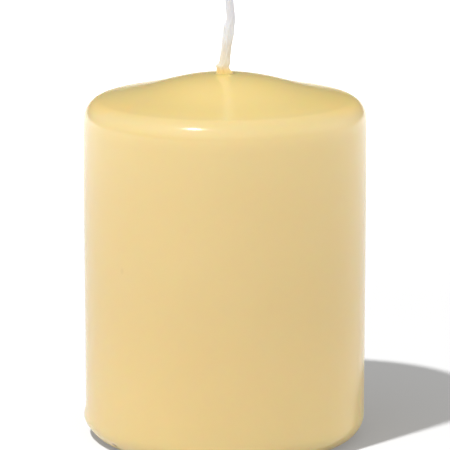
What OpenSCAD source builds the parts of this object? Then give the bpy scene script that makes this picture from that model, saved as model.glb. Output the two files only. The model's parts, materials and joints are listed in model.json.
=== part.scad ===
// Pillar candle: a pressed wax body with a cone crown, a waxed cotton wick and its tinplate sustainer.
// Millimetres. The candle stands on the XY plane with its axis on Z.

/* [Wax body] */
// Diameter of the straight wall
body_d = 70; // [50:1:120]
// Height of the wax, from the foot to the middle of the crown
body_h = 91.8; // [60:0.1:200]
// Radius of the rounded shoulder between the wall and the crown
shoulder_r = 5.1; // [2:0.1:8]
// How far the flat foot lies inside the wall
foot_inset = 5.7; // [2:0.1:8]
// Height of the rounded edge between the foot and the wall
foot_edge_h = 5.7; // [3:0.1:10]

/* [Crown] */
// Slope of the crown, in degrees above level
crown_slope = 13.8; // [6:0.1:24]
// Radius of the soft tip in the middle of the crown
crown_tip_r = 53; // [20:1:60]
// How deep the crown dips below a straight cone, halfway up
crown_dish = 0.18; // [0:0.01:0.5]

/* [Wax collar at the wick] */
// Height of the wax that has climbed the wick
collar_h = 1.5; // [0.6:0.1:2.5]
// How far that wax spreads from the wick
collar_spread = 1.1; // [0.5:0.1:3]

/* [Wick] */
// Diameter of the wick where the wax holds it
wick_d = 2.2; // [1.6:0.1:4]
// Length of wick that stands out of the crown
wick_out = 23; // [8:1:30]
// Length over which the wick comes free above the collar
wick_run_in = 1.5; // [0.5:0.1:4]
// Bevel round the cut end of the wick
wick_end_bevel = 0.25; // [0.1:0.05:0.4]
// Depth of the grooves between the plaited yarns
yarn_groove = 0.14; // [0.05:0.01:0.25]
// Yarns that run round each way
yarns_each_way = 4; // [3:1:6]
// Length in which one yarn runs once round the wick
yarn_lay = 13; // [8:1:24]

/* [Wick sustainer] */
// Diameter of the tinplate disc
disc_d = 20; // [12:1:32]
// Thickness of the tinplate
plate_t = 0.3; // [0.2:0.05:0.6]
// Height of the neck that grips the wick, above the disc
neck_h = 3.6; // [2.5:0.1:8]
// Radius of the bend between the disc and the neck
neck_bend_r = 0.5; // [0.2:0.05:1]
// Depth of the crimp round the neck
crimp = 0.1; // [0:0.01:0.15]

/* [Fits] */
// How far the disc lies above the table
disc_set_back = 0.3; // [0.1:0.05:1]
// Gap between the edge of the disc and its recess in the wax
disc_gap = 0.3; // [0.1:0.05:1]
// Gap between the neck and its pocket in the wax
neck_gap = 0.15; // [0.05:0.05:0.5]
// Gap between the wick and its bore, none where the wax has soaked in
wick_gap = 0; // [0:0.01:0.05]

/* [Hidden] */
$fn = 96;

body_r = body_d / 2;

tip_edge_r = crown_tip_r * sin(crown_slope);
tip_edge_z = body_h - crown_tip_r * (1 - cos(crown_slope));
shoulder_mid_r = body_r - shoulder_r;
crown_edge_r = shoulder_mid_r + shoulder_r * sin(crown_slope);
crown_edge_z = tip_edge_z - (crown_edge_r - tip_edge_r) * tan(crown_slope);
shoulder_mid_z = crown_edge_z - shoulder_r * cos(crown_slope);

wick_r = wick_d / 2;
bore_r = wick_r + wick_gap;
collar_foot_r = bore_r + collar_spread;
collar_foot_z = body_h - crown_tip_r + sqrt(crown_tip_r * crown_tip_r - collar_foot_r * collar_foot_r);
collar_top_z = body_h + collar_h;

plate_top_z = disc_set_back + plate_t;
disc_recess_r = disc_d / 2 + disc_gap;
neck_r = wick_r + plate_t;
neck_top_z = plate_top_z + neck_h;
pocket_r = neck_r + neck_gap;
pocket_top_z = neck_top_z + neck_gap;
crimp_z = plate_top_z + neck_bend_r + (neck_h - neck_bend_r) / 2;
crimp_reach = (neck_h - neck_bend_r) / 4;

// The free wick: height as a share of wick_out, then its lean to the right and to the back in wick diameters.
wick_lean = [
    [0, -0.07, 0],
    [0.1, -0.06, 0],
    [0.19, 0.02, 0.02],
    [0.27, 0.16, 0.05],
    [0.33, 0.27, 0.05],
    [0.4, 0.42, 0.02],
    [0.44, 0.51, -0.03],
    [0.49, 0.44, -0.07],
    [0.53, 0.51, -0.06],
    [0.58, 0.65, -0.04],
    [0.67, 0.59, 0.03],
    [0.8, 0.51, 0.09],
    [1, 0.3, 0.13]
];
// Its section on the same heights: how wide it is from the front and how deep, in wick diameters.
wick_section = [
    [0, 1, 1],
    [0.1, 1.12, 1.02],
    [0.19, 1.07, 0.92],
    [0.27, 1.01, 0.86],
    [0.33, 0.98, 0.84],
    [0.4, 1.06, 0.82],
    [0.44, 1.24, 0.82],
    [0.49, 1.18, 0.86],
    [0.53, 1.04, 0.88],
    [0.58, 0.92, 0.88],
    [0.67, 0.86, 0.86],
    [0.8, 0.85, 0.84],
    [1, 0.83, 0.82]
];
wick_sides = 32;
wick_rings = 57;

// Points on an arc round a centre, both ends included.
function arc(mid, r, from, to, steps) = [
    for (i = [0:steps])
        let (a = from + (to - from) * i / steps)
        mid + r * [cos(a), sin(a)]
];

// The rounded edge of the foot, from the floor up to the wall.
function foot_edge_points(steps) = [
    for (i = [0:steps])
        let (a = 90 * i / steps)
        [body_r - foot_inset * (1 - sin(a)), foot_edge_h * (1 - cos(a))]
];

// The slightly dished slope of the crown, without its two end points.
function crown_slope_points(steps) = [
    for (i = [1:steps - 1])
        let (
            u = i / steps,
            r = crown_edge_r + (tip_edge_r - crown_edge_r) * u,
            z = crown_edge_z + (tip_edge_z - crown_edge_z) * u
        )
        [r, z - crown_dish * pow(sin(180 * u), 2)]
];

// The hollow sweep of the wax that has climbed the wick, from the crown up.
function collar_points(steps) = [
    for (i = [0:steps])
        let (a = 90 * i / steps)
        [
            bore_r + collar_spread * (1 - sin(a)),
            collar_foot_z + (collar_top_z - collar_foot_z) * (1 - cos(a))
        ]
];

// A value read off a list of [at, value, value], on a smooth curve through its rows.
function slope_at(rows, i, k) =
    let (
        before = rows[max(i - 1, 0)],
        after = rows[min(i + 1, len(rows) - 1)]
    )
    (after[k] - before[k]) / (after[0] - before[0]);

function row_below(rows, at, i = 0) =
    i >= len(rows) - 2 || rows[i + 1][0] > at ? i : row_below(rows, at, i + 1);

function read_off(rows, at, k) =
    let (
        i = row_below(rows, at),
        run = rows[i + 1][0] - rows[i][0],
        t = min(max((at - rows[i][0]) / run, 0), 1),
        rise = rows[i + 1][k] - rows[i][k],
        start = slope_at(rows, i, k) * run,
        finish = slope_at(rows, i + 1, k) * run
    )
    rows[i][k] + start * t + (3 * rise - 2 * start - finish) * t * t
        + (start + finish - 2 * rise) * t * t * t;

// How far a yarn stands proud at one place on the wick: 1 on its ridge, 0 between two.
function ridge(a, up, hand) = (1 + cos(yarns_each_way * (a - hand * 360 * up / yarn_lay))) / 2;
function plait(a, up) = max(ridge(a, up, 1), ridge(a, up, -1));

// How free the wick is of the wax: 0 up to the collar's top, where it is straight and round, 1 a little higher.
function freedom(up) =
    let (t = min(max((up - collar_h) / wick_run_in, 0), 1))
    t * t * (3 - 2 * t);

// One ring of the wick, at a height above the crown; the shrink draws in the cut end.
function wick_ring(up, shrink) =
    let (
        free = freedom(up),
        share = up / wick_out,
        half_w = wick_r * (1 + free * (read_off(wick_section, share, 1) - 1)) - shrink,
        half_d = wick_r * (1 + free * (read_off(wick_section, share, 2) - 1)) - shrink,
        lean_x = free * wick_d * read_off(wick_lean, share, 1),
        lean_y = free * wick_d * read_off(wick_lean, share, 2),
        cut = free * yarn_groove
    )
    [
        for (i = [0:wick_sides - 1])
            let (a = 360 * i / wick_sides, in = cut * (1 - plait(a, up)))
            [lean_x + (half_w - in) * cos(a), lean_y + (half_d - in) * sin(a), body_h + up]
    ];

// A tube of triangles over rings that all have the same number of points.
module skin(rings) {
    sides = len(rings[0]);
    last = len(rings) - 1;
    points = [for (ring = rings) each ring];
    walls = [
        for (i = [0:last - 1], j = [0:sides - 1])
            let (a = i * sides + j, b = i * sides + (j + 1) % sides)
            each [[a, a + sides, b], [b, a + sides, b + sides]]
    ];
    bottom = [for (j = [0:sides - 1]) j];
    top = [for (j = [sides - 1:-1:0]) last * sides + j];
    polyhedron(points = points, faces = concat(walls, [bottom, top]), convexity = 4);
}

module wax_body() {
    color([0.94, 0.85, 0.58])
        rotate_extrude()
            polygon(concat(
                [
                    [bore_r, pocket_top_z],
                    [pocket_r, pocket_top_z],
                    [pocket_r, plate_top_z + neck_bend_r],
                    [pocket_r + neck_bend_r, plate_top_z],
                    [disc_recess_r, plate_top_z],
                    [disc_recess_r, 0]
                ],
                foot_edge_points(14),
                arc([shoulder_mid_r, shoulder_mid_z], shoulder_r, 0, 90 - crown_slope, 14),
                crown_slope_points(10),
                arc(
                    [0, body_h - crown_tip_r], crown_tip_r,
                    90 - crown_slope, acos(collar_foot_r / crown_tip_r), 10
                ),
                [for (p = collar_points(8)) if (p[1] > collar_foot_z) p]
            ));
}

module wick() {
    below = [for (up = [disc_set_back - body_h, 0]) wick_ring(up, 0)];
    above = [for (i = [1:wick_rings]) wick_ring((wick_out - wick_end_bevel) * i / wick_rings, 0)];
    color([0.95, 0.93, 0.88])
        skin(concat(below, above, [wick_ring(wick_out, wick_end_bevel)]));
}

module wick_sustainer() {
    waist = [
        for (i = [0:8])
            let (t = i / 4 - 1)
            [neck_r - crimp * pow(cos(90 * t), 2), crimp_z + crimp_reach * t]
    ];
    color([0.78, 0.79, 0.8])
        rotate_extrude()
            polygon(concat(
                [
                    [wick_r, disc_set_back],
                    [disc_d / 2, disc_set_back],
                    [disc_d / 2, plate_top_z]
                ],
                arc([neck_r + neck_bend_r, plate_top_z + neck_bend_r], neck_bend_r, 270, 180, 6),
                waist,
                [[neck_r, neck_top_z], [wick_r, neck_top_z]]
            ));
}

wax_body();
wick();
wick_sustainer();
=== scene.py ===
"""Pillar candle in butter-yellow wax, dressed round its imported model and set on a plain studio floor.

Metres, +Z up, with the middle of the foot at the origin. The front that the photograph shows faces -Y.
"""

import json
import logging
import math
from collections.abc import Iterator, Sequence
from dataclasses import dataclass, field
from enum import Enum
from typing import Any

import bmesh
import bpy
from mathutils import Matrix, Vector

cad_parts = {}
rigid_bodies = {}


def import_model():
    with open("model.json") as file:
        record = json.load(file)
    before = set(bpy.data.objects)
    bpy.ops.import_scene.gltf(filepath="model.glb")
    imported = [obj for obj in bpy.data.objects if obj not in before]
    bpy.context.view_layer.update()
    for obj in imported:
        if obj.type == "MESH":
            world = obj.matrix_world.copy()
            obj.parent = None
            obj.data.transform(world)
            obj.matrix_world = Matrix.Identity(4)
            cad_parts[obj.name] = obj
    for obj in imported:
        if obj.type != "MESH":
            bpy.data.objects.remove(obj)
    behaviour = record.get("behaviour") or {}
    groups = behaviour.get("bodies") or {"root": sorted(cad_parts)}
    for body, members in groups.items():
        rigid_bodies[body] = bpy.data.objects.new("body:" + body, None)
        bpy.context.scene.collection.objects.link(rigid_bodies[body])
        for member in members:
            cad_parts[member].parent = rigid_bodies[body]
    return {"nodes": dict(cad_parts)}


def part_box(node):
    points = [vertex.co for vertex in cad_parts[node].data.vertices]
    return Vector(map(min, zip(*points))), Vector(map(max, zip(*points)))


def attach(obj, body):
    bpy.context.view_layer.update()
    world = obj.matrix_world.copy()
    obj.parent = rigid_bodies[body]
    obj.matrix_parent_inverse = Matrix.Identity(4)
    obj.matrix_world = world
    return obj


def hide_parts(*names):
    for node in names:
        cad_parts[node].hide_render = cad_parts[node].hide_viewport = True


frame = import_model()

LOG = logging.getLogger("pillar_candle")
MM = 0.001
BODY = "root"
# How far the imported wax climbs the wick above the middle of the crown.
PACKED_COLLAR = 1.5 * MM

Rgb = tuple[float, float, float]
Point = tuple[float, float, float]
Rows = Sequence[tuple[float, float, float]]


class Graph:
    """A node tree that is written as calls, each of which adds one node and links what it is given."""

    def __init__(self, tree: bpy.types.NodeTree) -> None:
        """Starts on an empty tree.

        Args:
            tree: the shader, world or geometry tree to fill.
        """
        self.tree = tree
        tree.nodes.clear()

    def add(self, kind: str, inputs: dict[Any, Any] | None = None, **settings: Any) -> bpy.types.Node:
        """Adds a node.

        Args:
            kind: the node's Blender type.
            inputs: socket name or number to a value, or to the output socket that feeds it.
            **settings: the node's own properties, set before its inputs.

        Returns:
            The new node.
        """
        node = self.tree.nodes.new(kind)
        for name, value in settings.items():
            setattr(node, name, value)
        for key, value in (inputs or {}).items():
            if isinstance(value, bpy.types.NodeSocket):
                self.tree.links.new(value, node.inputs[key])
            else:
                node.inputs[key].default_value = value
        return node

    def math(self, operation: str, *values: Any) -> bpy.types.NodeSocket:
        """Adds a Math node.

        Args:
            operation: Blender's name for the operation.
            *values: its inputs, numbers or sockets.

        Returns:
            The node's output.
        """
        kind = "ShaderNodeMath"
        return self.add(kind, dict(enumerate(values)), operation=operation).outputs[0]

    def vector_math(self, operation: str, *values: Any) -> bpy.types.NodeSocket:
        """Adds a Vector Math node.

        Args:
            operation: Blender's name for the operation.
            *values: its inputs, vectors or sockets.

        Returns:
            The node's output.
        """
        kind = "ShaderNodeVectorMath"
        return self.add(kind, dict(enumerate(values)), operation=operation).outputs[0]

    def noise(self, place: bpy.types.NodeSocket, scale: float, detail: float = 2.0) -> bpy.types.NodeSocket:
        """Adds a noise texture.

        Args:
            place: the coordinates that it reads.
            scale: its cells in a metre.
            detail: its octaves.

        Returns:
            The noise's factor.
        """
        inputs = {"Vector": place, "Scale": scale, "Detail": detail, "Roughness": 0.5}
        return self.add("ShaderNodeTexNoise", inputs).outputs["Fac"]

    def blend(self, factor: bpy.types.NodeSocket, first: Any, second: Any) -> bpy.types.NodeSocket:
        """Mixes two colours.

        Args:
            factor: how much of the second.
            first: a colour or a socket.
            second: a colour or a socket.

        Returns:
            The mixed colour.
        """
        node = self.add("ShaderNodeMix", {0: factor, 6: first, 7: second}, data_type="RGBA")
        return node.outputs[2]

    def ramp(
        self, height: bpy.types.NodeSocket, start: float, tones: Sequence[tuple[float, Rgb]]
    ) -> bpy.types.NodeSocket:
        """Adds a ramp of colours over a height.

        Args:
            height: the height.
            start: where the ramp starts.
            tones: heights above the start, the first of them 0, with the colour at each.

        Returns:
            The colour at the height.
        """
        top = tones[-1][0]
        inputs = {"Value": height, "From Min": start, "From Max": start + top}
        share = self.add("ShaderNodeMapRange", inputs).outputs[0]
        ramp = self.add("ShaderNodeValToRGB", {0: share})
        stops = ramp.color_ramp.elements
        for i, (up, colour) in enumerate(tones):
            stop = stops[i] if i < 2 else stops.new(up / top)
            stop.position, stop.color = up / top, rgba(colour)
        return ramp.outputs[0]

    def spread(self, value: bpy.types.NodeSocket, low: float, high: float) -> bpy.types.NodeSocket:
        """Maps a factor from 0 and 1 to two limits.

        Args:
            value: the factor.
            low: what 0 becomes.
            high: what 1 becomes.

        Returns:
            The mapped value.
        """
        return self.add("ShaderNodeMapRange", {"Value": value, "To Min": low, "To Max": high}).outputs[0]

    def around(self, value: bpy.types.NodeSocket, middle: float, reach: float) -> bpy.types.NodeSocket:
        """Maps a factor from 0 and 1 to a reach below and above a middle value."""
        return self.spread(value, middle - reach, middle + reach)

    def bump(self, height: bpy.types.NodeSocket, strength: float, depth: float) -> bpy.types.NodeSocket:
        """Adds a Bump node and gives its normal."""
        return self.add("ShaderNodeBump", {"Height": height, "Strength": strength, "Distance": depth}).outputs[0]


def rgba(colour: Rgb) -> tuple[float, float, float, float]:
    """Gives a colour the alpha that Blender's sockets want."""
    return (*colour, 1.0)


def new_material(name: str) -> tuple[bpy.types.Material, Graph]:
    """Makes an empty node material.

    Args:
        name: the material's name.

    Returns:
        The material, and the graph of its tree.
    """
    material = bpy.data.materials.new(name)
    material.use_nodes = True
    return material, Graph(material.node_tree)


@dataclass(frozen=True)
class Spot:
    """A patch of another colour that fades out over an oval: a dark mark, or painted light at one end of the
    crown.
    """

    place: Point
    size: Point
    colour: Rgb
    strength: float
    core: float = 0.3

    def blend(self, graph: Graph, place: bpy.types.NodeSocket, tone: bpy.types.NodeSocket) -> bpy.types.NodeSocket:
        """Adds the nodes that lay the spot over a colour.

        Args:
            graph: the material's tree.
            place: the Object coordinates.
            tone: the colour round it.

        Returns:
            The colour with the spot in it.
        """
        offset = graph.vector_math("SUBTRACT", place, self.place)
        scaled = graph.vector_math("DIVIDE", offset, self.size)
        away = graph.add("ShaderNodeVectorMath", {0: scaled}, operation="LENGTH").outputs["Value"]
        inputs = {"Value": away, "From Min": self.core, "From Max": 1.0, "To Min": self.strength, "To Max": 0.0}
        cover = graph.add("ShaderNodeMapRange", inputs, interpolation_type="SMOOTHSTEP").outputs[0]
        return graph.blend(cover, tone, rgba(self.colour))


@dataclass(frozen=True)
class WaxFinish:
    """Pressed paraffin under a thin glossy dip, a little translucent, its colour carrying painted light and shade.
    """

    colour: Rgb = (0.86, 0.635, 0.25)
    pale: Rgb = (0.875, 0.665, 0.28)
    # Painted light and shade by height, as factors on the wax colour. The foot is lighter as painted floor bounce.
    # The shoulder has a paler, bluer, less red band as painted reflection and shade. The crown is a fuller,
    # lighter yellow as painted light.
    painted_light_by_height: tuple[tuple[float, Rgb], ...] = (
        (0.0, (1.09, 1.07, 1.04)),
        (18.0 * MM, (1.05, 1.035, 1.02)),
        (40.0 * MM, (1.0, 1.0, 1.0)),
        (66.0 * MM, (1.0, 1.0, 0.97)),
        (78.0 * MM, (1.0, 1.02, 0.97)),
        (81.0 * MM, (1.01, 1.05, 1.02)),
        (82.5 * MM, (0.97, 1.02, 1.08)),
        (84.3 * MM, (0.92, 0.99, 1.09)),
        (85.2 * MM, (0.94, 0.99, 1.04)),
        (86.3 * MM, (1.02, 1.045, 0.9)),
        (92.0 * MM, (1.04, 1.05, 0.88)),
    )
    marks_and_painted_light: tuple[Spot, ...] = (
        # A dark brown patch on the nick at the foot's edge, and a faint brown speck on the wall.
        Spot((-27.4 * MM, -19.5 * MM, 2.0 * MM), (1.3 * MM, 1.3 * MM, 0.9 * MM), (0.42, 0.27, 0.11), 0.8),
        Spot((-25.0 * MM, -24.5 * MM, 47.3 * MM), (0.6 * MM, 1.0 * MM, 1.2 * MM), (0.6, 0.42, 0.17), 0.12),
        # Painted light: the left and right ends of the crown are lighter and a fuller yellow.
        Spot((-28.0 * MM, 3.0 * MM, 86.0 * MM), (16.0 * MM, 30.0 * MM, 4.2 * MM), (1.0, 0.715, 0.25), 1.0),
        Spot((28.0 * MM, 3.0 * MM, 86.0 * MM), (16.0 * MM, 30.0 * MM, 4.2 * MM), (1.0, 0.705, 0.22), 1.0),
    )
    roughness: float = 0.2
    roughness_spread: float = 0.02
    refraction: float = 1.5
    gloss: float = 1.0
    subsurface: float = 0.8
    subsurface_scale: float = 5.0 * MM
    subsurface_radius: Rgb = (1.0, 0.62, 0.28)
    cloud_size: float = 26.0 * MM
    ripple_size: float = 2.2 * MM
    ripple_depth: float = 0.05 * MM
    ripple_strength: float = 0.06
    soaked: Rgb = (0.93, 0.78, 0.47)
    soaked_rise: float = 0.8 * MM

    def material(self, crown_z: float) -> bpy.types.Material:
        """Builds the material on Object coordinates.

        Args:
            crown_z: the height of the crown, above which the wax has soaked into the wick.

        Returns:
            The wax material.
        """
        material, graph = new_material("butter_yellow_wax")
        place = graph.add("ShaderNodeTexCoord").outputs["Object"]
        cloud = graph.noise(place, 1 / self.cloud_size, 3.0)
        tone = graph.blend(cloud, rgba(self.colour), rgba(self.pale))
        height = graph.add("ShaderNodeSeparateXYZ", {0: place}).outputs[2]
        # Painted light and shade by height, then the marks and the painted light at the crown's ends.
        tone = graph.vector_math("MULTIPLY", tone, graph.ramp(height, 0.0, self.painted_light_by_height))
        for spot in self.marks_and_painted_light:
            tone = spot.blend(graph, place, tone)
        near_wick = graph.add(
            "ShaderNodeMapRange",
            {"Value": height, "From Min": crown_z, "From Max": crown_z + self.soaked_rise},
        ).outputs[0]
        tone = graph.blend(near_wick, tone, rgba(self.soaked))
        ripple = graph.noise(place, 1 / self.ripple_size, 2.0)
        bump = graph.bump(ripple, self.ripple_strength, self.ripple_depth)
        wax = graph.add(
            "ShaderNodeBsdfPrincipled",
            {
                "Base Color": tone,
                "Roughness": graph.around(cloud, self.roughness, self.roughness_spread),
                "IOR": self.refraction,
                "Specular IOR Level": self.gloss,
                "Subsurface Weight": self.subsurface,
                "Subsurface Radius": self.subsurface_radius,
                "Subsurface Scale": self.subsurface_scale,
                "Normal": bump,
            },
        )
        graph.add("ShaderNodeOutputMaterial", {"Surface": wax.outputs[0]})
        return material


@dataclass(frozen=True)
class CottonFinish:
    """Plaited cotton soaked in wax: cream where the candle's wax stains it, whitest at the fold."""

    tones: tuple[tuple[float, Rgb], ...] = (
        (0.0, (0.88, 0.67, 0.25)),
        (0.9 * MM, (0.88, 0.68, 0.3)),
        (1.4 * MM, (0.85, 0.71, 0.45)),
        (2.1 * MM, (0.82, 0.75, 0.61)),
        (7.2 * MM, (0.77, 0.75, 0.71)),
        (9.2 * MM, (0.82, 0.83, 0.86)),
        (11.5 * MM, (0.81, 0.82, 0.87)),
        (13.5 * MM, (0.76, 0.76, 0.8)),
        (23.0 * MM, (0.73, 0.73, 0.78)),
    )
    roughness: float = 0.42
    refraction: float = 1.44
    subsurface_radius: Rgb = (1.0, 0.9, 0.8)
    subsurface_scale: float = 1.2 * MM
    fibre_size: float = 0.16 * MM
    fibre_stretch: float = 9.0
    fibre_shades: tuple[float, float] = (0.92, 1.05)
    fibre_depth: float = 0.03 * MM
    fibre_strength: float = 0.5

    def material(self, crown_z: float) -> bpy.types.Material:
        """Builds the material on Object coordinates.

        Args:
            crown_z: the height at which the wick leaves the wax.

        Returns:
            The cotton material.
        """
        material, graph = new_material("waxed_cotton")
        place = graph.add("ShaderNodeTexCoord").outputs["Object"]
        height = graph.add("ShaderNodeSeparateXYZ", {0: place}).outputs[2]
        stain = graph.ramp(height, crown_z, self.tones)
        long_way = graph.vector_math("MULTIPLY", place, (1.0, 1.0, 1 / self.fibre_stretch))
        fibre = graph.noise(long_way, 1 / self.fibre_size, 3.0)
        shade = graph.spread(fibre, *self.fibre_shades)
        colour = graph.add("ShaderNodeVectorMath", {0: stain, "Scale": shade}, operation="SCALE")
        bump = graph.bump(fibre, self.fibre_strength, self.fibre_depth)
        cotton = graph.add(
            "ShaderNodeBsdfPrincipled",
            {
                "Base Color": colour.outputs[0],
                "Roughness": self.roughness,
                "IOR": self.refraction,
                "Subsurface Weight": 1.0,
                "Subsurface Radius": self.subsurface_radius,
                "Subsurface Scale": self.subsurface_scale,
                "Normal": bump,
            },
        )
        graph.add("ShaderNodeOutputMaterial", {"Surface": cotton.outputs[0]})
        return material


@dataclass(frozen=True)
class TinplateFinish:
    """Bright rolled tinplate with faint drawing marks."""

    colour: Rgb = (0.72, 0.73, 0.74)
    roughness: float = 0.32
    roughness_spread: float = 0.06
    mark_size: float = 0.4 * MM
    mark_stretch: float = 0.06
    mark_depth: float = 0.02 * MM
    mark_strength: float = 0.15

    def material(self) -> bpy.types.Material:
        """Builds the material on Object coordinates.

        Returns:
            The tinplate material.
        """
        material, graph = new_material("tinplate")
        place = graph.add("ShaderNodeTexCoord").outputs["Object"]
        rolled = graph.vector_math("MULTIPLY", place, (1.0, self.mark_stretch, 1.0))
        marks = graph.noise(rolled, 1 / self.mark_size, 3.0)
        bump = graph.bump(marks, self.mark_strength, self.mark_depth)
        plate = graph.add(
            "ShaderNodeBsdfPrincipled",
            {
                "Base Color": rgba(self.colour),
                "Metallic": 1.0,
                "Roughness": graph.around(marks, self.roughness, self.roughness_spread),
                "Normal": bump,
            },
        )
        graph.add("ShaderNodeOutputMaterial", {"Surface": plate.outputs[0]})
        return material


def smooth_step(value: float, low: float, high: float) -> float:
    """Rises smoothly from 0 at low to 1 at high.

    Args:
        value: where to read.
        low: where the rise starts.
        high: where it ends.

    Returns:
        A factor from 0 to 1.
    """
    t = min(max((value - low) / (high - low), 0.0), 1.0)
    return t * t * (3 - 2 * t)


def read_off(rows: Rows, at: float, column: int) -> float:
    """Reads a value off rows of (at, value, value), on a smooth curve through them.

    Args:
        rows: the rows, with rising first values.
        at: where to read.
        column: which of the values.

    Returns:
        The value there.
    """

    def slope(i: int) -> float:
        """Gives the curve's slope at one row."""
        before, after = rows[max(i - 1, 0)], rows[min(i + 1, len(rows) - 1)]
        return (after[column] - before[column]) / (after[0] - before[0])

    i = 0
    while i < len(rows) - 2 and rows[i + 1][0] <= at:
        i += 1
    run = rows[i + 1][0] - rows[i][0]
    rise = rows[i + 1][column] - rows[i][column]
    t = min(max((at - rows[i][0]) / run, 0.0), 1.0)
    start, end = slope(i) * run, slope(i + 1) * run
    return rows[i][column] + start * t + (3 * rise - 2 * start - end) * t**2 + (start + end - 2 * rise) * t**3


def mesh_object(name: str, points: Sequence[Point], faces: Sequence[Sequence[int]]) -> bpy.types.Object:
    """Makes a smooth mesh object in the scene.

    Args:
        name: the object's name.
        points: its vertices.
        faces: its faces, as vertex numbers.

    Returns:
        The object, with its normals outward.
    """
    mesh = bpy.data.meshes.new(name)
    mesh.from_pydata(points, [], faces)
    work = bmesh.new()
    work.from_mesh(mesh)
    bmesh.ops.recalc_face_normals(work, faces=work.faces)
    work.to_mesh(mesh)
    work.free()
    mesh.shade_smooth()
    obj = bpy.data.objects.new(name, mesh)
    bpy.context.scene.collection.objects.link(obj)
    return obj


@dataclass(frozen=True)
class Lump:
    """A place where the wax stands proud of the lathe, or with a negative rise falls short of it."""

    turn: float
    place: float
    turn_spread: float
    place_spread: float
    rise: float

    def at(self, turn: float, place: float) -> float:
        """Gives the lump's rise at one point of the surface.

        Args:
            turn: the point's angle round the axis, in degrees from +X.
            place: its height, or on the crown its radius.

        Returns:
            The rise there.
        """
        around = ((turn - self.turn + 180) % 360 - 180) / self.turn_spread
        along = (place - self.place) / self.place_spread
        return self.rise * math.exp(-(around**2) - along**2)


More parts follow.
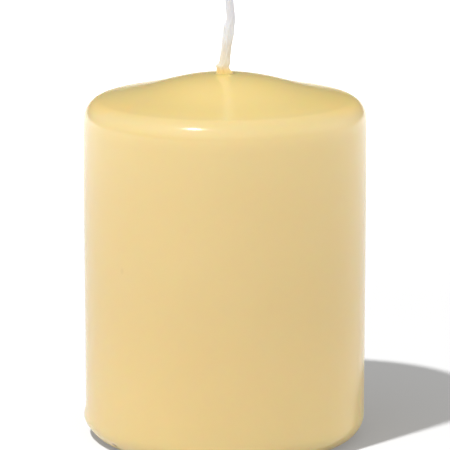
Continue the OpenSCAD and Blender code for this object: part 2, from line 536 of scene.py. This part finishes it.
@dataclass
class WaxBody:
    """The pressed wax: a lathe of its outline, with the small lumps of a real candle."""

    radius: float
    height: float
    shoulder_radius: float = 5.1 * MM
    foot_inset: float = 5.7 * MM
    foot_edge_height: float = 5.7 * MM
    crown_slope: float = math.radians(13.8)
    crown_tip_radius: float = 53.0 * MM
    crown_dish: float = 0.18 * MM
    collar_height: float = 0.7 * MM
    collar_spread: float = 0.4 * MM
    bore_radius: float = 1.1 * MM
    recess_radius: float = 10.3 * MM
    recess_depth: float = 0.6 * MM
    pocket_radius: float = 1.55 * MM
    pocket_bend: float = 0.5 * MM
    pocket_top: float = 4.35 * MM
    wall_lumps: tuple[Lump, ...] = (
        Lump(178.0, 4.6 * MM, 17.0, 2.1 * MM, 0.56 * MM),
        Lump(180.0, 80.0 * MM, 50.0, 7.0 * MM, -0.1 * MM),
        Lump(180.0, 60.0 * MM, 50.0, 22.0 * MM, 0.1 * MM),
        Lump(0.0, 66.0 * MM, 50.0, 28.0 * MM, 0.06 * MM),
        Lump(215.5, 2.0 * MM, 2.2, 0.8 * MM, -0.3 * MM),
    )
    crown_lumps: tuple[Lump, ...] = (
        Lump(60.0, 26.0 * MM, 32.0, 10.0 * MM, -0.2 * MM),
    )
    wall_from: float = 0.8
    crown_reach: float = 1 / 3
    segments: int = 288
    underside_step: float = 6.0 * MM
    foot_rings: int = 24
    wall_rings: int = 44
    shoulder_rings: int = 28
    slope_rings: int = 24
    tip_rings: int = 20
    collar_rings: int = 22
    sharp_angle: float = math.radians(40.0)
    finish: WaxFinish = field(default_factory=WaxFinish)

    def outline(self) -> list[tuple[float, float]]:
        """Draws half of the section, from the bore's foot round the outside to the bore's mouth.

        Returns:
            Points (radius, height), foot first.
        """
        tip, slope = self.crown_tip_radius, self.crown_slope
        tip_edge = (tip * math.sin(slope), self.height - tip * (1 - math.cos(slope)))
        shoulder_r = self.radius - self.shoulder_radius
        crown_r = shoulder_r + self.shoulder_radius * math.sin(slope)
        crown_z = tip_edge[1] - (crown_r - tip_edge[0]) * math.tan(slope)
        shoulder_z = crown_z - self.shoulder_radius * math.cos(slope)
        collar_r = self.bore_radius + self.collar_spread
        collar_z = self.height - tip + math.sqrt(tip**2 - collar_r**2)
        collar_rise = self.height + self.collar_height - collar_z

        points = [(self.bore_radius, self.pocket_top)]
        points += [(self.pocket_radius, self.pocket_top)]
        points += [(self.pocket_radius, self.recess_depth + self.pocket_bend)]
        points += [(self.pocket_radius + self.pocket_bend, self.recess_depth)]
        points += [(self.recess_radius, self.recess_depth), (self.recess_radius, 0.0)]
        points += [(self.recess_radius + self.underside_step * i, 0.0) for i in range(1, 4)]
        for a in steps(-math.pi / 2, 0.0, self.foot_rings, ends=True):
            r = self.radius - self.foot_inset * (1 - math.cos(a))
            points.append((r, self.foot_edge_height * (1 + math.sin(a))))
        points += [(self.radius, z) for z in steps(self.foot_edge_height, shoulder_z, self.wall_rings)]
        turn = math.pi / 2 - slope
        points += arc((shoulder_r, shoulder_z), self.shoulder_radius, 0.0, turn, self.shoulder_rings)
        for u in steps(0.0, 1.0, self.slope_rings):
            r = crown_r + (tip_edge[0] - crown_r) * u
            z = crown_z + (tip_edge[1] - crown_z) * u
            points.append((r, z - self.crown_dish * math.sin(math.pi * u) ** 2))
        points += arc((0.0, self.height - tip), tip, turn, math.acos(collar_r / tip), self.tip_rings)
        for a in steps(0.0, math.pi / 2, self.collar_rings):
            r = self.bore_radius + self.collar_spread * (1 - math.sin(a))
            points.append((r, collar_z + collar_rise * (1 - math.cos(a))))
        points.append((self.bore_radius, self.height + self.collar_height))
        return points

    def stray(self, r: float, turn: float, z: float) -> tuple[float, float]:
        """Says how far the real surface strays from the lathe at one point.

        Args:
            r: the point's radius.
            turn: its angle round the axis, in degrees from +X.
            z: its height.

        Returns:
            What to add to the radius and to the height.
        """
        on_wall = r > self.wall_from * self.radius
        on_crown = z > self.height - self.crown_reach * self.radius
        out = sum(lump.at(turn, z) for lump in self.wall_lumps) if on_wall else 0.0
        up = sum(lump.at(turn, r) for lump in self.crown_lumps) if on_crown else 0.0
        return out, up

    def build(self) -> bpy.types.Object:
        """Lathes the outline into a closed mesh.

        Returns:
            The wax body's object, still bare.
        """
        outline = self.outline()
        points: list[Point] = []
        for r, z in outline:
            for i in range(self.segments):
                turn = 2 * math.pi * i / self.segments
                out, up = self.stray(r, math.degrees(turn), z)
                points.append(((r + out) * math.cos(turn), (r + out) * math.sin(turn), z + up))
        faces = list(ring_faces(len(outline), self.segments, closed=True))
        obj = mesh_object("wax_body_surface", points, faces)
        obj.data.set_sharp_from_angle(angle=self.sharp_angle)
        return obj

    def dress(self, obj: bpy.types.Object) -> None:
        """Gives the wax its finish and seats it in the frame.

        Args:
            obj: the wax body's object.
        """
        obj.data.materials.append(self.finish.material(self.height))
        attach(obj, BODY)
        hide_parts("wax_body")


def arc(mid: tuple[float, float], r: float, start: float, end: float, count: int) -> list[tuple[float, float]]:
    """Gives points on an arc, both ends included.

    Args:
        mid: the arc's centre.
        r: its radius.
        start: its first angle.
        end: its last angle.
        count: how many steps it takes.

    Returns:
        The points.
    """
    angles = (start + (end - start) * i / count for i in range(count + 1))
    return [(mid[0] + r * math.cos(a), mid[1] + r * math.sin(a)) for a in angles]


def steps(low: float, high: float, count: int, ends: bool = False) -> Iterator[float]:
    """Yields evenly spaced values between two limits.

    Args:
        low: the first limit.
        high: the second limit.
        count: how many steps lie between them.
        ends: whether the limits themselves are among the values.

    Yields:
        The values, from low to high.
    """
    for i in range(0 if ends else 1, count + 1 if ends else count):
        yield low + (high - low) * i / count


def ring_faces(rings: int, sides: int, closed: bool = False) -> Iterator[tuple[int, ...]]:
    """Yields the quads over rings of points, and with closed the quads from the last ring to the first.

    Args:
        rings: how many rings there are.
        sides: how many points each has.
        closed: whether the rings close on themselves.

    Yields:
        Four vertex numbers.
    """
    for i in range(rings if closed else rings - 1):
        low, high = i * sides, (i + 1) % rings * sides
        for j in range(sides):
            k = (j + 1) % sides
            yield low + j, low + k, high + k, high + j


class Winding(Enum):
    """How a layer's yarns run up the wick; the value is the number of hands that they wind in."""

    STRAIGHT = 1
    BOTH_WAYS = 2


@dataclass(frozen=True)
class YarnLayer:
    """Yarns of one thickness that run up the wick side by side."""

    winding: Winding
    count: int
    radius: float
    depth: float
    lift: float = 0.0
    lay: float = 0.0

    def sizes(self) -> dict[str, float]:
        """Gives the sizes that its winding needs, in millimetres and under the names of the tree's inputs."""
        names = ("radius", "depth") if self.winding is Winding.STRAIGHT else ("radius", "depth", "lift", "lay")
        return {name.title(): getattr(self, name) / MM for name in names}


@dataclass(frozen=True)
class Fold:
    """A crumple or frayed end in the wick: an oval lump, told from the wick's own centre line."""

    up: float
    side: float
    front: float
    size: Point


@dataclass
class Wick:
    """The waxed cotton wick: plaited yarns that follow its lean and kink, melted together by the wax."""

    foot: float
    crown: float
    tip: float
    diameter: float = 2.2 * MM
    held_to: float = -0.4 * MM
    free_from: float = 0.1 * MM
    fill: YarnLayer = YarnLayer(Winding.STRAIGHT, count=14, radius=0.5 * MM, depth=0.0)
    plait: YarnLayer = YarnLayer(
        Winding.BOTH_WAYS, count=5, radius=0.3 * MM, depth=-0.1 * MM, lift=0.02 * MM, lay=44 * MM
    )
    yarn_sides: int = 12
    overlap: float = 3.0 * MM
    voxel: float = 0.06 * MM
    ease_factor: float = 0.5
    ease_passes: int = 8
    stem_sides: int = 32
    stem_play: float = 0.01 * MM
    # Share of the free height, then the lean to the right and to the back in wick diameters.
    lean: Rows = (
        (0.0, -0.12, 0.0),
        (0.04, -0.18, 0.0),
        (0.06, -0.24, 0.0),
        (0.083, -0.28, 0.0),
        (0.105, -0.1, 0.0),
        (0.135, -0.03, 0.01),
        (0.17, -0.03, 0.02),
        (0.23, 0.05, 0.04),
        (0.3, 0.17, 0.05),
        (0.36, 0.28, 0.04),
        (0.4, 0.33, 0.02),
        (0.43, 0.41, -0.02),
        (0.5, 0.43, -0.06),
        (0.53, 0.47, -0.06),
        (0.56, 0.57, -0.05),
        (0.6, 0.61, -0.03),
        (0.69, 0.56, 0.03),
        (0.8, 0.5, 0.09),
        (1.0, 0.3, 0.13),
    )
    # Share of the free height, then the width and the depth in wick diameters.
    section: Rows = (
        (0.0, 1.6, 1.25),
        (0.04, 1.5, 1.2),
        (0.06, 1.34, 1.15),
        (0.083, 1.44, 1.15),
        (0.105, 1.3, 1.12),
        (0.135, 1.22, 1.08),
        (0.17, 1.16, 1.0),
        (0.23, 1.12, 0.94),
        (0.3, 1.1, 0.9),
        (0.36, 1.18, 0.88),
        (0.43, 1.26, 0.88),
        (0.5, 1.22, 0.9),
        (0.53, 1.18, 0.92),
        (0.56, 1.04, 0.92),
        (0.6, 0.98, 0.92),
        (0.69, 0.92, 0.9),
        (0.8, 0.92, 0.88),
        (1.0, 0.92, 0.86),
    )
    folds: tuple[Fold, ...] = (
        Fold(11.8 * MM, -0.8 * MM, -0.2 * MM, (0.66 * MM, 0.7 * MM, 0.8 * MM)),
        Fold(10.0 * MM, 0.85 * MM, -0.2 * MM, (0.55 * MM, 0.6 * MM, 0.6 * MM)),
        Fold(10.8 * MM, -0.2 * MM, -0.62 * MM, (0.8 * MM, 0.4 * MM, 0.7 * MM)),
        Fold(9.3 * MM, -0.6 * MM, -0.3 * MM, (0.7 * MM, 0.6 * MM, 1.1 * MM)),
        Fold(0.3 * MM, 1.4 * MM, -0.2 * MM, (0.8 * MM, 0.7 * MM, 0.6 * MM)),
        Fold(-0.6 * MM, -0.18 * MM, 0.0, (2.65 * MM, 2.0 * MM, 1.1 * MM)),
        Fold(0.5 * MM, 0.1 * MM, 0.0, (1.7 * MM, 1.3 * MM, 1.0 * MM)),
    )
    rings: int = 240
    finish: CottonFinish = field(default_factory=CottonFinish)

    @property
    def layers(self) -> dict[str, YarnLayer]:
        """Gives both layers of yarns under the names that the tree's inputs start with."""
        return {"Fill": self.fill, "Plait": self.plait}

    def freedom(self, up: float) -> float:
        """Says how free the wick is of the wax at a height above the crown, from 0 to 1."""
        return smooth_step(up, self.held_to, self.free_from)

    def centre(self, up: float) -> Point:
        """Gives the middle of the wick.

        Args:
            up: the height above the crown.

        Returns:
            The point there.
        """
        free, share = self.freedom(up), up / (self.tip - self.crown)
        x, y = (free * self.diameter * read_off(self.lean, share, k) for k in (1, 2))
        return x, y, self.crown + up

    def half_sizes(self, up: float) -> tuple[float, float]:
        """Gives the size of the wick's section.

        Args:
            up: the height above the crown.

        Returns:
            Half of its width and half of its depth there.
        """
        free, share = self.freedom(up), up / (self.tip - self.crown)
        width, depth = (1 + free * (read_off(self.section, share, k) - 1) for k in (1, 2))
        return self.diameter / 2 * width, self.diameter / 2 * depth

    def path_object(self) -> bpy.types.Object:
        """Lays the centre line as a chain of edges in millimetres, with the section's half sizes on it.

        Returns:
            The chain's object.
        """
        heights = list(steps(-self.overlap, self.tip - self.crown, self.rings, ends=True))
        mesh = bpy.data.meshes.new("wick_path")
        points = [[c / MM for c in self.centre(up)] for up in heights]
        mesh.from_pydata(points, [(i, i + 1) for i in range(self.rings)], [])
        for k, name in enumerate(("half_width", "half_depth")):
            values = [self.half_sizes(up)[k] / MM for up in heights]
            mesh.attributes.new(name, "FLOAT", "POINT").data.foreach_set("value", values)
        obj = bpy.data.objects.new("wick_braid", mesh)
        bpy.context.scene.collection.objects.link(obj)
        return obj

    def wind(
        self, graph: Graph, path: bpy.types.NodeSocket, size: dict[str, Any], winding: Winding
    ) -> bpy.types.Node:
        """Adds the nodes that wind one layer of yarns round the path.

        Args:
            graph: the tree.
            path: the centre line, as a curve.
            size: the layer's Count and the sizes that its winding needs, each a socket.
            winding: how its yarns run.

        Returns:
            The node whose output is the layer's mesh.
        """
        hands = float(winding.value)
        amount = graph.math("MULTIPLY", size["Count"], hands)
        copies = graph.add("GeometryNodeDuplicateElements", {"Geometry": path, "Amount": amount}, domain="SPLINE")
        index = copies.outputs["Duplicate Index"]
        order = graph.math("FLOOR", graph.math("DIVIDE", index, hands))
        turn = graph.math("DIVIDE", graph.math("MULTIPLY", order, 2 * math.pi), size["Count"])
        inward = graph.math("ADD", size["Radius"], size["Depth"])
        if winding is Winding.BOTH_WAYS:
            hand = graph.math("SUBTRACT", graph.math("MULTIPLY", graph.math("MODULO", index, 2.0), 2.0), 1.0)
            place = graph.add("GeometryNodeInputPosition").outputs[0]
            height = graph.add("ShaderNodeSeparateXYZ", {0: place}).outputs[2]
            wound = graph.math("DIVIDE", graph.math("MULTIPLY", height, 2 * math.pi), size["Lay"])
            turn = graph.math("ADD", turn, graph.math("MULTIPLY", hand, wound))
            beat = graph.math("COSINE", graph.math("MULTIPLY", turn, size["Count"]))
            lift = graph.math("MULTIPLY", graph.math("MULTIPLY", hand, beat), size["Lift"])
            inward = graph.math("SUBTRACT", inward, lift)
        offsets = []
        for name, wave in (("half_width", "COSINE"), ("half_depth", "SINE")):
            half = graph.add("GeometryNodeInputNamedAttribute", {"Name": name}, data_type="FLOAT").outputs[0]
            reach = graph.math("SUBTRACT", half, inward)
            offsets.append(graph.math("MULTIPLY", reach, graph.math(wave, turn)))
        offset = graph.add("ShaderNodeCombineXYZ", {0: offsets[0], 1: offsets[1]}).outputs[0]
        moved = graph.add("GeometryNodeSetPosition", {"Geometry": copies.outputs[0], "Offset": offset})
        profile = {"Resolution": self.yarn_sides, "Radius": size["Radius"]}
        ring = graph.add("GeometryNodeCurvePrimitiveCircle", profile)
        return graph.add(
            "GeometryNodeCurveToMesh",
            {"Curve": moved.outputs[0], "Profile Curve": ring.outputs[0], "Fill Caps": True},
        )

    def yarn_tree(self) -> bpy.types.NodeTree:
        """Builds the tree that fills a path with straight yarns and plaits others round them.

        Returns:
            The geometry tree, with named inputs for its sizes.
        """
        tree = bpy.data.node_groups.new("plaited_yarns", "GeometryNodeTree")
        tree.interface.new_socket(name="Path", in_out="INPUT", socket_type="NodeSocketGeometry")
        for name, layer in self.layers.items():
            tree.interface.new_socket(name=f"{name} Count", in_out="INPUT", socket_type="NodeSocketInt")
            for size in layer.sizes():
                label = f"{name} {size}"
                tree.interface.new_socket(name=label, in_out="INPUT", socket_type="NodeSocketFloat")
        tree.interface.new_socket(name="Cotton", in_out="INPUT", socket_type="NodeSocketMaterial")
        tree.interface.new_socket(name="Wick", in_out="OUTPUT", socket_type="NodeSocketGeometry")
        graph = Graph(tree)
        given = graph.add("NodeGroupInput").outputs
        path = graph.add("GeometryNodeMeshToCurve", {0: given["Path"]}).outputs[0]
        both = graph.add("GeometryNodeJoinGeometry")
        for name, layer in self.layers.items():
            sockets = {size: given[f"{name} {size}"] for size in ("Count", *layer.sizes())}
            tree.links.new(self.wind(graph, path, sockets, layer.winding).outputs[0], both.inputs[0])
        real = graph.add("GeometryNodeRealizeInstances", {0: both.outputs[0]})
        dressed = graph.add("GeometryNodeSetMaterial", {"Geometry": real.outputs[0], "Material": given["Cotton"]})
        graph.add("NodeGroupOutput", {0: dressed.outputs[0]})
        return tree

    def wound_yarns(self, cotton: bpy.types.Material) -> bpy.types.Mesh:
        """Winds the yarns with Geometry Nodes and takes the result as a plain mesh in millimetres.

        Args:
            cotton: the wick's material.

        Returns:
            The mesh of all the yarns.
        """
        path = self.path_object()
        modifier = path.modifiers.new("yarns", "NODES")
        modifier.node_group = self.yarn_tree()
        sizes: dict[str, Any] = {"Cotton": cotton}
        for name, layer in self.layers.items():
            sizes[f"{name} Count"] = layer.count
            sizes.update({f"{name} {size}": value for size, value in layer.sizes().items()})
        for item in modifier.node_group.interface.items_tree:
            if item.name in sizes:
                modifier[item.identifier] = sizes[item.name]
        mesh = taken_mesh(path)
        bpy.data.objects.remove(path)
        return mesh

    def add_folds(self, mesh: bpy.types.Mesh) -> None:
        """Adds the crumples to the yarns.

        Args:
            mesh: the yarns' mesh, in millimetres.
        """
        work = bmesh.new()
        work.from_mesh(mesh)
        for fold in self.folds:
            x, y, z = self.centre(fold.up)
            place = Matrix.Translation(Vector((x + fold.side, y + fold.front, z)) / MM)
            oval = place @ Matrix.Diagonal((*(c / MM for c in fold.size), 1.0))
            bmesh.ops.create_icosphere(work, subdivisions=3, radius=1.0, matrix=oval)
        work.to_mesh(mesh)
        work.free()

    def add_stem(self, mesh: bpy.types.Mesh) -> None:
        """Adds the straight wick that the wax hides in its bore.

        Args:
            mesh: the braid's mesh, in millimetres.
        """
        work = bmesh.new()
        work.from_mesh(mesh)
        low, high = self.foot / MM, (self.crown - self.overlap / 2) / MM
        r = (self.diameter / 2 - self.stem_play) / MM
        place = Matrix.Translation((0.0, 0.0, (low + high) / 2))
        bmesh.ops.create_cone(
            work, cap_ends=True, segments=self.stem_sides, depth=high - low, radius1=r, radius2=r, matrix=place
        )
        work.to_mesh(mesh)
        work.free()

    def build(self) -> bpy.types.Object:
        """Plaits the free wick, melts its yarns and folds together and adds the stem that the wax hides.

        Returns:
            The wick's object.
        """
        cotton = self.finish.material(self.crown)
        mesh = self.wound_yarns(cotton)
        self.add_folds(mesh)
        obj = bpy.data.objects.new("wick_braid", mesh)
        bpy.context.scene.collection.objects.link(obj)
        melt = obj.modifiers.new("melt", "REMESH")
        melt.mode, melt.voxel_size = "VOXEL", self.voxel / MM
        ease = obj.modifiers.new("ease", "SMOOTH")
        ease.factor, ease.iterations = self.ease_factor, self.ease_passes
        obj.data = taken_mesh(obj)
        obj.modifiers.clear()
        self.add_stem(obj.data)
        obj.data.transform(Matrix.Scale(MM, 4))
        obj.data.materials.clear()
        obj.data.materials.append(cotton)
        obj.data.shade_smooth()
        return obj

    def dress(self, obj: bpy.types.Object) -> None:
        """Seats the wick in the frame; its finish is already on it.

        Args:
            obj: the wick's object.
        """
        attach(obj, BODY)
        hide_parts("wick")


def taken_mesh(obj: bpy.types.Object) -> bpy.types.Mesh:
    """Takes an object's mesh with its modifiers applied.

    Args:
        obj: the object.

    Returns:
        A new plain mesh.
    """
    shown = obj.evaluated_get(bpy.context.evaluated_depsgraph_get())
    return bpy.data.meshes.new_from_object(shown)


@dataclass
class WickSustainer:
    """The tinplate disc and neck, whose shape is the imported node's own."""

    node: bpy.types.Object
    finish: TinplateFinish = field(default_factory=TinplateFinish)

    def dress(self) -> None:
        """Gives the node its tinplate."""
        self.node.data.materials.clear()
        self.node.data.materials.append(self.finish.material())


@dataclass(frozen=True)
class Glow:
    """Light that is strongest in one direction and fades with the angle from it, or a shade of that kind."""

    azimuth: float
    elevation: float
    tightness: float
    strength: float

    def level(self, graph: Graph, way: bpy.types.NodeSocket) -> bpy.types.NodeSocket:
        """Adds the nodes that give the glow's level in a direction.

        Args:
            graph: the world's or the floor's tree.
            way: the direction, of length 1.

        Returns:
            The level there.
        """
        turn, rise = math.radians(self.azimuth), math.radians(self.elevation)
        axis = (math.cos(turn) * math.cos(rise), math.sin(turn) * math.cos(rise), math.sin(rise))
        facing = graph.add("ShaderNodeVectorMath", {0: way, 1: axis}, operation="DOT_PRODUCT").outputs["Value"]
        shape = graph.math("POWER", graph.math("MAXIMUM", facing, 0.0), self.tightness)
        return graph.math("MULTIPLY", shape, self.strength)


@dataclass
class Studio:
    """The plain floor, the lamps and the camera."""

    floor_size: float = 20.0
    lamp_azimuth: float = math.radians(39.1)
    lamp_elevation: float = math.radians(62.4)
    lamp_distance: float = 1.008
    lamp_radius: float = 0.02
    key_strength: float = 0.57
    surround: float = 0.28
    soft_boxes: tuple[Glow, ...] = (
        Glow(azimuth=0.0, elevation=10.0, tightness=6.0, strength=0.83),
        Glow(azimuth=180.0, elevation=10.0, tightness=6.0, strength=0.5),
        Glow(azimuth=30.0, elevation=12.0, tightness=8.0, strength=0.5),
        Glow(azimuth=150.0, elevation=12.0, tightness=8.0, strength=0.37),
        Glow(azimuth=225.0, elevation=30.0, tightness=6.0, strength=0.83),
        Glow(azimuth=315.0, elevation=30.0, tightness=6.0, strength=0.38),
        Glow(azimuth=270.0, elevation=35.0, tightness=2.0, strength=0.4),
        Glow(azimuth=270.0, elevation=8.0, tightness=6.0, strength=0.47),
        Glow(azimuth=0.0, elevation=90.0, tightness=4.0, strength=0.27),
        Glow(azimuth=180.0, elevation=60.0, tightness=10.0, strength=0.37),
        Glow(azimuth=90.0, elevation=55.0, tightness=16.0, strength=0.32),
        Glow(azimuth=90.0, elevation=6.0, tightness=6.0, strength=-0.09),
    )
    floor_strength: float = 8.25
    floor_diffuse: float = 0.25
    floor_glow: float = 0.205
    glow_from: float = 0.14
    glow_to: float = 0.7
    floor_bounce: float = 0.53
    floor_front: Glow = Glow(azimuth=285.0, elevation=0.0, tightness=3.0, strength=0.46)
    focal_px: float = 3369.6
    frame_px: float = 450.0
    centre_px: float = 225.1
    sensor: float = 36.0
    clip_start: float = 0.05
    distance: float = 0.84
    elevation: float = math.radians(12.04)
    aim_height: float = 53.54 * MM

    def floor(self) -> bpy.types.Object:
        """Lays the floor.

        Its lit part is white and its shadow a neutral grey for every ray that sees it, and it throws
        less light on the candle, least of all from the front, where no light box stands. Near the candle
        most of its white is the lamp's, so that the shadow shows, and far off it glows by itself.

        Returns:
            The floor's object.
        """
        half = self.floor_size / 2
        corners = [(-half, -half, 0.0), (half, -half, 0.0), (half, half, 0.0), (-half, half, 0.0)]
        floor = mesh_object("floor", corners, [(0, 1, 2, 3)])
        material, graph = new_material("studio_floor")
        rays = graph.add("ShaderNodeLightPath").outputs
        seen = graph.math("MAXIMUM", rays["Is Camera Ray"], rays["Is Glossy Ray"])
        seen = graph.math("MAXIMUM", seen, rays["Is Transmission Ray"])
        place = graph.add("ShaderNodeTexCoord").outputs["Object"]
        front = self.floor_front.level(graph, graph.vector_math("NORMALIZE", place))
        bounce = graph.math("MULTIPLY", graph.math("SUBTRACT", 1.0, front), self.floor_bounce)
        level = graph.math("MAXIMUM", seen, bounce)
        paint = graph.math("MULTIPLY", level, self.floor_diffuse)
        away = graph.add("ShaderNodeVectorMath", {0: place}, operation="LENGTH").outputs["Value"]
        backdrop = graph.add(
            "ShaderNodeMapRange",
            {
                "Value": away,
                "From Min": self.glow_from,
                "From Max": self.glow_to,
                "To Min": self.floor_glow,
                "To Max": 1.0,
            },
            interpolation_type="SMOOTHSTEP",
        ).outputs[0]
        glow = graph.math("MULTIPLY", level, backdrop)
        colour = graph.add("ShaderNodeCombineColor", {0: paint, 1: paint, 2: paint})
        cover = graph.add("ShaderNodeBsdfDiffuse", {"Color": colour.outputs[0]})
        shine = graph.add("ShaderNodeEmission", {"Strength": glow})
        both = graph.add("ShaderNodeAddShader", {0: cover.outputs[0], 1: shine.outputs[0]})
        graph.add("ShaderNodeOutputMaterial", {"Surface": both.outputs[0]})
        floor.data.materials.append(material)
        return floor

    def lamp(self, name: str, strength: float) -> bpy.types.Object:
        """Hangs a round lamp in the key light's place, whose light doesn't fall off with the distance.

        Args:
            name: the lamp's name.
            strength: the light that it throws on the candle, in watts a square metre.

        Returns:
            The lamp's object.
        """
        data = bpy.data.lights.new(name, "POINT")
        data.energy = strength * 4 * math.pi
        data.shadow_soft_size = self.lamp_radius
        data.use_nodes = True
        graph = Graph(data.node_tree)
        even = graph.add("ShaderNodeLightFalloff", {"Strength": 1.0}).outputs["Constant"]
        glow = graph.add("ShaderNodeEmission", {"Strength": even})
        graph.add("ShaderNodeOutputLight", {0: glow.outputs[0]})
        obj = bpy.data.objects.new(name, data)
        out = math.cos(self.lamp_elevation) * self.lamp_distance
        side, front = math.sin(self.lamp_azimuth) * out, math.cos(self.lamp_azimuth) * out
        obj.location = (-side, -front, math.sin(self.lamp_elevation) * self.lamp_distance)
        bpy.context.scene.collection.objects.link(obj)
        return obj

    def light(self, floor: bpy.types.Object) -> None:
        """Hangs the key light, the floor's own lamp in the same place, and the soft boxes round them.

        Args:
            floor: the only thing that the second lamp lights.
        """
        self.lamp("key_light", self.key_strength)
        floor_lamp = self.lamp("floor_light", self.floor_strength)
        only_floor = bpy.data.collections.new("floor_only")
        only_floor.objects.link(floor)
        floor_lamp.light_linking.receiver_collection = only_floor

        world = bpy.data.worlds.new("studio")
        world.use_nodes = True
        graph = Graph(world.node_tree)
        way = graph.add("ShaderNodeTexCoord").outputs["Generated"]
        strength: Any = self.surround
        for box in self.soft_boxes:
            strength = graph.math("ADD", box.level(graph, way), strength)
        light = graph.add("ShaderNodeBackground", {"Color": rgba((1.0, 1.0, 1.0)), "Strength": strength})
        graph.add("ShaderNodeOutputWorld", {"Surface": light.outputs[0]})
        bpy.context.scene.world = world

    def camera(self) -> None:
        """Sets the camera at the photograph's viewing angle."""
        data = bpy.data.cameras.new("camera")
        data.sensor_width, data.lens = self.sensor, self.focal_px / self.frame_px * self.sensor
        data.clip_start, data.clip_end = self.clip_start, self.floor_size
        aside = -(self.centre_px - self.frame_px / 2) * self.distance / self.focal_px
        camera = bpy.data.objects.new("camera", data)
        back = Vector((0.0, -math.cos(self.elevation), math.sin(self.elevation)))
        camera.location = Vector((aside, 0.0, self.aim_height)) + back * self.distance
        camera.rotation_mode = "QUATERNION"
        camera.rotation_quaternion = (-back).to_track_quat("-Z", "Y")
        bpy.context.scene.collection.objects.link(camera)
        bpy.context.scene.camera = camera

    def build(self) -> None:
        """Sets up the floor, the lamps, the surround, the camera and the plain view transform."""
        self.light(self.floor())
        self.camera()
        bpy.context.scene.view_settings.view_transform = "Standard"


def main() -> None:
    """Builds the candle's pieces in order, then the studio."""
    logging.basicConfig(level=logging.INFO, format="%(name)s: %(message)s")
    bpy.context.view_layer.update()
    wax_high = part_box("wax_body")[1]
    wick_low, wick_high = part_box("wick")

    wax = WaxBody(radius=wax_high.x, height=wax_high.z - PACKED_COLLAR)
    wax_object = wax.build()
    wax.dress(wax_object)
    LOG.info("wax body: %d faces", len(wax_object.data.polygons))

    wick = Wick(foot=wick_low.z, crown=wax.height, tip=wick_high.z)
    wick_object = wick.build()
    wick.dress(wick_object)
    LOG.info("wick: %d faces", len(wick_object.data.polygons))

    WickSustainer(frame["nodes"]["wick_sustainer"]).dress()
    LOG.info("wick sustainer: the packed node in tinplate")

    Studio().build()


if __name__ == "__main__":
    main()
